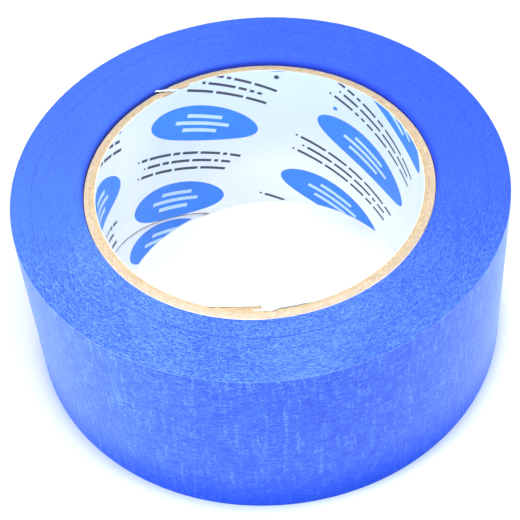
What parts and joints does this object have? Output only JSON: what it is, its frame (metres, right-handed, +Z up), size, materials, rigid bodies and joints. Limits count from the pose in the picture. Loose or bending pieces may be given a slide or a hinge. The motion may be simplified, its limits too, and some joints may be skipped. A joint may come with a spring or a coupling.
{
  "type": "masking tape roll",
  "caption": "Wide roll of crepe masking tape on an open, paper-lined cardboard core, with a free end that peels away from the outer turn.",
  "frame": {"origin": "centre of the core's axis in the plane of the tape's lower end face, on which the roll stands", "axes": "+Z up along the core's axis, out of the end face from which the ribbon is seen to run anticlockwise to its free end; +Y towards the side where the tape's free end lies"},
  "size_m": [0.1155, 0.1156, 0.048],
  "materials": {
    "kraft_board": "matt, fibrous",
    "printed_paper": "matt, printed",
    "tape_edges": "matt, fibrous edges of the wound turns",
    "tape_backing": "creped, low sheen"
  },
  "bodies": {
    "roll": {"printed_liner": "printed_paper", "inner_kraft_ply": "kraft_board", "third_kraft_ply": "kraft_board", "second_kraft_ply": "kraft_board", "outer_kraft_ply": "kraft_board", "wound_tape": "tape_edges", "outer_turn": "tape_backing"},
    "end_root": {"tape_end_root": "tape_backing"},
    "end_second": {"tape_end_second": "tape_backing"},
    "end_third": {"tape_end_third": "tape_backing"},
    "end_tip": {"tape_end_tip": "tape_backing"}
  },
  "joints": [
    {"name": "end_peel", "type": "hinge", "parent": "roll", "child": "end_root", "pos_m": [0.02353, 0.05283, 0.024], "axis": [0, 0, -1], "range_deg": [0, 28]},
    {"name": "end_curl_second", "type": "hinge", "parent": "end_root", "child": "end_second", "pos_m": [0.01203, 0.05657, 0.024], "axis": [0, 0, -1], "range_deg": [0, 28]},
    {"name": "end_curl_third", "type": "hinge", "parent": "end_second", "child": "end_third", "pos_m": [0, 0.05784, 0.024], "axis": [0, 0, -1], "range_deg": [0, 28]},
    {"name": "end_curl_tip", "type": "hinge", "parent": "end_third", "child": "end_tip", "pos_m": [-0.01202, 0.05658, 0.024], "axis": [0, 0, -1], "range_deg": [0, 28]}
  ],
  "couplings": [
    {"joint": "end_curl_second", "follows": "end_peel", "ratio": 1},
    {"joint": "end_curl_third", "follows": "end_peel", "ratio": 1},
    {"joint": "end_curl_tip", "follows": "end_peel", "ratio": 1}
  ]
}
